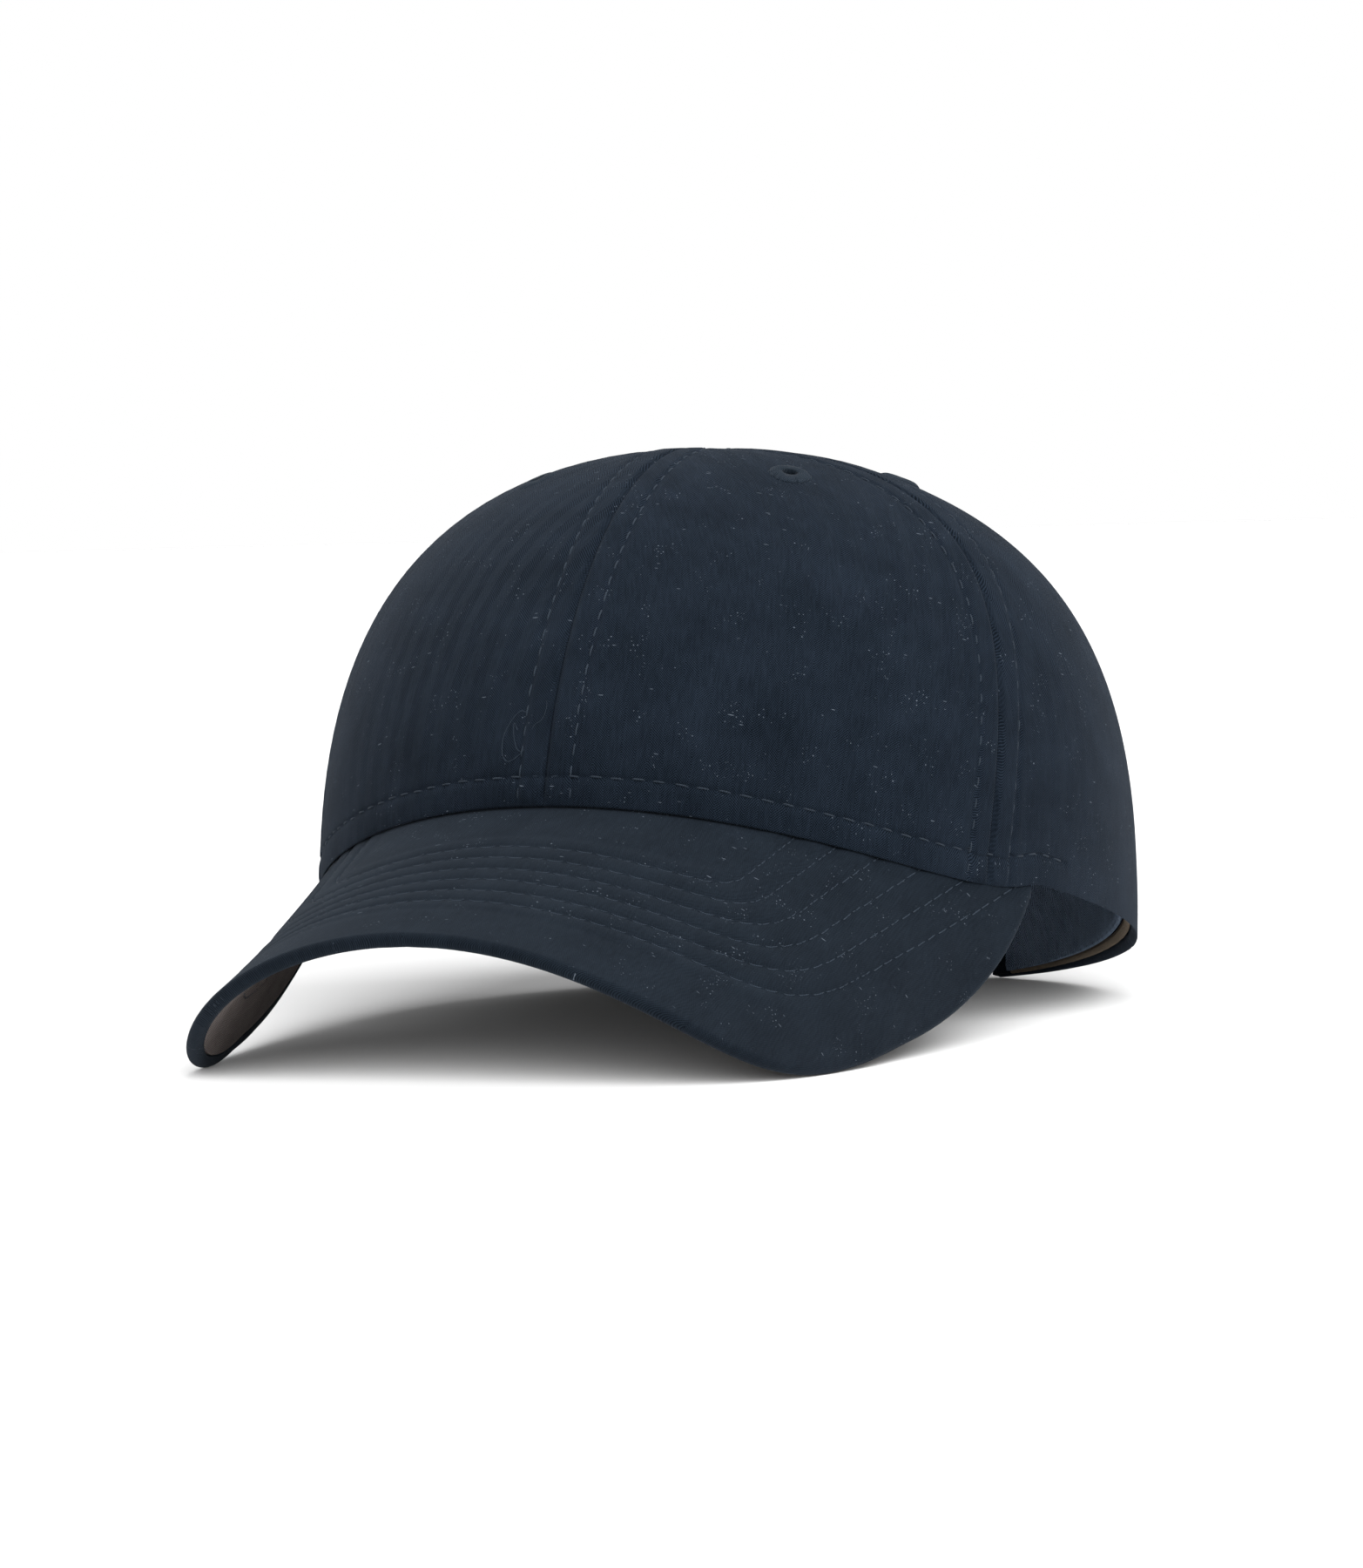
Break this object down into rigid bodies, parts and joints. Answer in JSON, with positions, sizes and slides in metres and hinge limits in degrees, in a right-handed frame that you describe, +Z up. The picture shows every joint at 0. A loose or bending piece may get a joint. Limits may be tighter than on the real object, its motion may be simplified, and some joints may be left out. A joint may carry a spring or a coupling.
{
  "type": "baseball cap",
  "caption": "Structured panelled cloth cap with a curved, stitched visor, stitched eyelets, inner sweatband and an arched rear opening closed by a hook-and-loop strap.",
  "frame": {"origin": "centre of the bounding box in plan, on the surface the cap rests on", "axes": "wearer faces -Y, +X is the wearer's left, +Z is up; at rest on the visor's tips and the back hem the cap's hem plane leans with its front raised by about 6 degrees"},
  "size_m": [0.1738, 0.2624, 0.1241],
  "materials": {
    "panels": "matt ripstop twill",
    "visor_cloth": "matt ripstop twill",
    "strap_cloth": "matt ripstop twill",
    "thread": "stitched thread",
    "buckram": "stiff coated mesh",
    "tape": "woven tape",
    "sweatband": "herringbone twill",
    "piping": "bias tape",
    "board": "pressed polyethylene sheet",
    "hook_tape": "moulded hooks",
    "loop_tape": "brushed loops"
  },
  "bodies": {
    "crown": {"front_panel_left": "panels", "front_panel_right": "panels", "side_panel_left": "panels", "side_panel_right": "panels", "back_panel_left": "panels", "back_panel_right": "panels", "visor_top_cover": "visor_cloth", "visor_underside_cover": "visor_cloth", "opening_binding": "visor_cloth", "hook_strap_base": "strap_cloth", "loop_strap_base": "strap_cloth", "eyelet_front_left": "thread", "eyelet_front_right": "thread", "eyelet_side_left": "thread", "eyelet_side_right": "thread", "eyelet_back_left": "thread", "eyelet_back_right": "thread", "buckram_left": "buckram", "buckram_right": "buckram", "centre_seam_tape": "tape", "front_seam_tape_left": "tape", "front_seam_tape_right": "tape", "back_seam_tape_left": "tape", "back_seam_tape_right": "tape", "sweatband": "sweatband", "sweatband_piping": "piping", "visor_board": "board"},
    "hook_strap": {"hook_strap": "strap_cloth", "hook_pad": "hook_tape"},
    "loop_strap": {"loop_strap": "strap_cloth", "loop_pad": "loop_tape"}
  },
  "joints": [
    {"name": "hook_strap_peel", "type": "hinge", "parent": "crown", "child": "hook_strap", "pos_m": [0.02223, 0.12719, 0.00263], "axis": [0.0333, 0.0654, -0.9973], "range_deg": [0, 95]},
    {"name": "loop_strap_fold", "type": "hinge", "parent": "crown", "child": "loop_strap", "pos_m": [-0.02143, 0.12424, 0.0033], "axis": [-0.034, 0.0711, -0.9969], "range_deg": [0, 30]}
  ]
}
